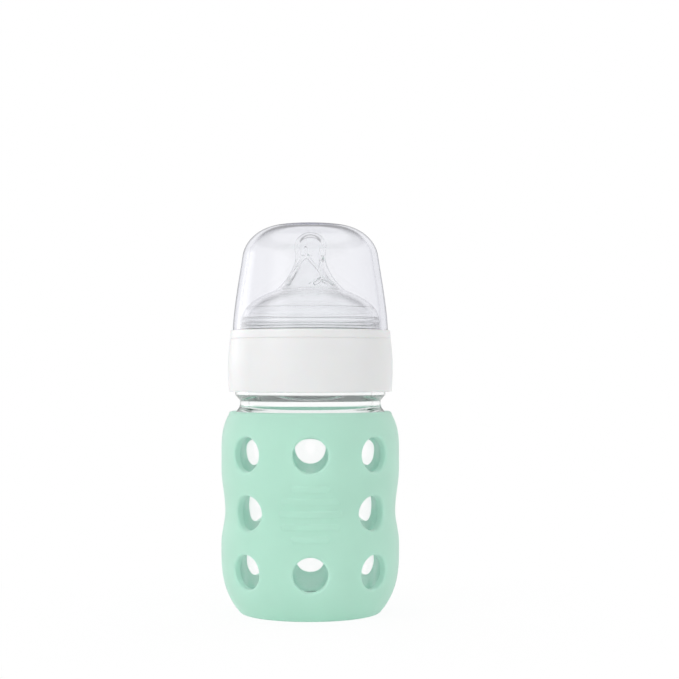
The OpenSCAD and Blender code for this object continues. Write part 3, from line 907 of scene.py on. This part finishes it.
def nipple():
    """Nipple with its flange under the collar's plate, flexing grooves, inner ribs and feeding hole."""
    neck = PLATE_OPENING_R - NIPPLE_GAP
    seal_r = BORE_R - NIPPLE_GAP
    seal_wall, seal_h = 1.6, 1.8
    flange_edge, base_edge = 0.6, 0.5
    base_z = SEAT_Z + NIPPLE_GAP
    low, high = MOUTH_Z + HAIR, PLATE_Z - HAIR
    outside = [(seal_r - seal_wall, MOUTH_Z - seal_h), (seal_r - 0.4, MOUTH_Z - seal_h)]
    outside += [(seal_r, MOUTH_Z - seal_h + 0.6), (seal_r, low), (FLANGE_R - flange_edge, low)]
    outside += arc((FLANGE_R - flange_edge, low + flange_edge), flange_edge, -90, 0, 6)
    outside += arc((FLANGE_R - flange_edge, high - flange_edge), flange_edge, 0, 90, 6)
    outside += [(neck, high), (neck, base_z)]
    outside += arc((NIPPLE_BASE_R - base_edge, base_z + base_edge), base_edge, -90, 0, 6)
    outside += grooved(nipple_skin(0.0))
    inside = [(seal_r - seal_wall, MOUTH_Z), (seal_r - seal_wall, SEAT_Z)]
    inner_r = NIPPLE_BASE_R - NIPPLE_WALL
    inside += [(r, z + SEAT_Z) for r, z in bezier([
        (seal_r - seal_wall, 0.5), (seal_r - seal_wall, 2.5), (inner_r, 2.5), (inner_r, BULGE_H - 1),
    ], n=16)]
    inside += nipple_skin(NIPPLE_WALL)
    inner_low = SEAT_Z + FLARE[1] - 2 * NIPPLE_WALL
    outline = outside + [(FEED_HOLE_R, outside[-1][1]), (FEED_HOLE_R, inside[-1][1])] + inside[::-1]
    count = len(outside)

    def relief(r, z, azimuth):
        proud = np.where(z > inner_low, rib_relief(r, z, azimuth), 0.0)
        proud[:count + 2] = 0.0
        return proud

    points, faces = revolve(outline, NIPPLE_SEGMENTS, relief)
    piece = make("nipple_body", points, faces, SILICONE, "nipple")
    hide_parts("nipple")


# ---- Dome cap ----
def cap_skin(side, top):
    """Cap's skin from its base to its crown, moved inwards by one inset at its side and one at its crown."""
    base = np.array((CAP_R - 0.1, CAP_H * 0.098))
    shoulder = np.array((CAP_R - CAP_TAPER, CAP_H * 0.722))
    brow = np.array(((CAP_R - CAP_TAPER) * 0.588, CAP_H * 0.972))
    crown = np.array((0.0, CAP_H))
    points = bezier([
        base, base + CAP_H * np.array((-0.013, 0.208)),
        shoulder + CAP_H * np.array((0.0195, -0.139)), shoulder,
    ], side, 30)
    points += bezier([
        shoulder, shoulder + CAP_H * np.array((-0.0174, 0.104)),
        brow + CAP_H * np.array((0.139, -0.041)), brow,
    ], side, 40, top)[1:]
    points += bezier([
        brow, brow + CAP_H * np.array((-0.078, 0.0228)), crown + (CAP_R * 0.223, 0.0), crown,
    ], top, 24)[1:]
    points[-1] = (0.0, points[-1][1])
    return [(r, z + SEAT_Z) for r, z in points]


def dome_cap():
    """Clear cap that stands in the collar's seat."""
    base = SEAT_Z + HAIR
    edge = 0.35
    outside = arc((CAP_R - edge, base + edge), edge, -90, 0, 6) + cap_skin(0.0, 0.0)
    inside = arc((CAP_R - CAP_WALL + edge, base + edge), edge, 270, 180, 6)
    inside += cap_skin(CAP_WALL, CROWN_WALL)
    points, faces = revolve(outside + inside[::-1], SEGMENTS)
    piece = make("dome_cap_body", points, faces, PLASTIC, "cap")
    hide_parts("dome_cap")


glass_bottle()
silicone_sleeve()
screw_collar()
nipple()
dome_cap()


# ---- Stage ----
WHITE_LEVEL = 1.0
ROOM_LEVEL = 0.68  # strength of the soft light that comes from all round
DARK_LEVEL = 0.4  # how bright the dark band looks in gloss and through clear pieces
DARK_FROM, DARK_TO, SOFT_EDGE = 0.42, 0.7, 0.1  # sines of the elevations where that band lies
SPOTS = (  # (way to the spot's middle, cosine of its half width, strength that it adds)
    ((-0.75, -0.66, 0.0), 0.86, 1.8),
    ((-0.85, 0.53, 0.0), 0.92, 1.8),
    ((0.9, 0.43, 0.0), 0.7, -0.4),
    ((0.0, 1.0, 0.0), 0.85, -0.6),
)
CLEAR_BOUNCES = 32  # clear walls inside clear walls send light through many surfaces
DIFFUSE_BOUNCES = 8
FLOOR_SIZE = 8.0  # metres
FLOOR_WHITE = (0.92, 0.92, 0.92, 1.0)
FLOOR_DROP = 0.02
FLOOR_SHADE = ((0.04, 0.93), (0.16, 1.0))  # (metres from the axis, share of plain white that is seen)
LAMP_AIM = (0.0, 0.0, 0.08)  # metres
LAMPS = (  # (name, place and size in metres, watts)
    ("key_left", (-1.1, -0.8, 0.6), 0.9, 7.0),
    ("fill_right", (1.2, -0.7, 0.3), 1.0, 3.5),
    ("top", (0.0, -0.2, 1.3), 1.2, 2.2),
    ("back_left", (-0.9, 1.1, 0.4), 0.9, 5.8),
    ("back_right", (0.9, 1.1, 0.4), 0.9, 5.8),
)


def combine(tree, operation, *values):
    """Result of a Math node fed by other nodes' outputs."""
    node = tree.nodes.new("ShaderNodeMath")
    node.operation = operation
    for value, socket in zip(values, node.inputs):
        link(tree, value, socket)
    return node.outputs[0]


def seen_rays(tree):
    """1 for a ray that goes to the eye, also by way of gloss or through a clear piece, else 0."""
    path = tree.nodes.new("ShaderNodeLightPath").outputs
    direct = combine(tree, "MAXIMUM", path["Is Camera Ray"], path["Is Glossy Ray"])
    return combine(tree, "MAXIMUM", direct, path["Is Transmission Ray"])


def mirrored_rays(tree):
    """1 for a ray that comes from a true reflection, else 0: refraction counts as glossy too."""
    path = tree.nodes.new("ShaderNodeLightPath").outputs
    result = combine(tree, "SUBTRACT", path["Is Glossy Ray"], path["Is Transmission Ray"])
    result.node.use_clamp = True
    return result


def room():
    """White room with a dark band round it, between walls and ceiling, that only gloss and clear pieces show.

    Reflections show its soft brighter and darker spots as well.
    """
    world = bpy.data.worlds.new("room")
    bpy.context.scene.world = world
    world.use_nodes = True
    tree = world.node_tree
    light = tree.nodes["Background"]
    light.inputs["Color"].default_value = (1.0, 1.0, 1.0, 1.0)
    place = tree.nodes.new("ShaderNodeTexCoord").outputs["Generated"]
    height = tree.nodes.new("ShaderNodeSeparateXYZ")
    link(tree, place, height.inputs[0])
    height = height.outputs["Z"]
    walls = fade(tree, height, DARK_FROM, DARK_FROM + SOFT_EDGE, WHITE_LEVEL, DARK_LEVEL)
    ceiling = fade(tree, height, DARK_TO, DARK_TO + SOFT_EDGE, 0.0, WHITE_LEVEL - DARK_LEVEL)
    total = combine(tree, "ADD", walls, ceiling)
    mirrored = mirrored_rays(tree)
    for way, edge, glow in SPOTS:
        aim = tree.nodes.new("ShaderNodeVectorMath")
        aim.operation = "DOT_PRODUCT"
        aim.inputs[1].default_value = way
        link(tree, place, aim.inputs[0])
        spot = fade(tree, aim.outputs["Value"], edge, 1.0, 0.0, glow)
        total = combine(tree, "MULTIPLY_ADD", spot, mirrored, total)
    level = tree.nodes.new("ShaderNodeMapRange")
    level.inputs["To Min"].default_value = ROOM_LEVEL
    link(tree, total, level.inputs["To Max"])
    link(tree, seen_rays(tree), level.inputs["Value"])
    link(tree, level.outputs["Result"], light.inputs["Strength"])


def floor():
    """White floor, seen as plain white but for the shadow close to the bottle."""
    bpy.ops.mesh.primitive_plane_add(size=FLOOR_SIZE, location=(0.0, 0.0, -FLOOR_DROP * MM))
    plane = bpy.context.object
    plane.name = "floor"
    material, tree, shader = new_shader("white_floor", Base_Color=FLOOR_WHITE, Roughness=0.9)
    glow = tree.nodes.new("ShaderNodeEmission")
    glow.inputs["Strength"].default_value = WHITE_LEVEL
    place = tree.nodes.new("ShaderNodeTexCoord")
    reach = tree.nodes.new("ShaderNodeVectorMath")
    reach.operation = "LENGTH"
    link(tree, place.outputs["Object"], reach.inputs[0])
    share = tree.nodes.new("ShaderNodeMapRange")
    for end, (distance, white) in zip(("Min", "Max"), FLOOR_SHADE):
        share.inputs["From " + end].default_value = distance
        share.inputs["To " + end].default_value = white
    link(tree, reach.outputs["Value"], share.inputs["Value"])
    mix = tree.nodes.new("ShaderNodeMixShader")
    link(tree, combine(tree, "MULTIPLY", share.outputs["Result"], seen_rays(tree)), mix.inputs["Fac"])
    link(tree, shader.outputs[0], mix.inputs[1])
    link(tree, glow.outputs[0], mix.inputs[2])
    link(tree, mix.outputs[0], tree.nodes["Material Output"].inputs["Surface"])
    plane.data.materials.append(material)


def softbox(name, place, size, watts):
    """Square lamp aimed at the bottle's middle."""
    data = bpy.data.lights.new(name, "AREA")
    data.size = size
    data.energy = watts
    lamp = bpy.data.objects.new(name, data)
    lamp.location = place
    lamp.visible_glossy = lamp.visible_transmission = False
    lamp.rotation_euler = (Vector(LAMP_AIM) - lamp.location).to_track_quat("-Z", "Y").to_euler()
    bpy.context.scene.collection.objects.link(lamp)


paths = bpy.context.scene.cycles
paths.max_bounces = paths.transmission_bounces = paths.glossy_bounces = CLEAR_BOUNCES
paths.diffuse_bounces = DIFFUSE_BOUNCES
room()
floor()
for lamp in LAMPS:
    softbox(*lamp)

# ---- Camera ----
IMAGE_SIDE = 679.0  # pixels
EYE_DISTANCE = 670.0  # from the bottle's axis
EYE_HEIGHT = 98.1
FOCAL_PIXELS = 1654.0
AXIS_X, EYE_Y = 310.4, 368.8  # pixels of the bottle's axis and of the eye level
SENSOR = 36.0

camera_data = bpy.data.cameras.new("camera")
camera_data.sensor_width = SENSOR
camera_data.lens = SENSOR * FOCAL_PIXELS / IMAGE_SIDE
camera = bpy.data.objects.new("camera", camera_data)
bpy.context.scene.collection.objects.link(camera)
camera.location = (0.0, -EYE_DISTANCE * MM, EYE_HEIGHT * MM)
rise = math.atan((EYE_Y - IMAGE_SIDE / 2) / FOCAL_PIXELS)
turn = math.atan((IMAGE_SIDE / 2 - AXIS_X) / FOCAL_PIXELS)
camera.rotation_euler = (math.radians(90.0) + rise, 0.0, -turn)
bpy.context.scene.camera = camera
bpy.context.scene.view_settings.view_transform = "Standard"
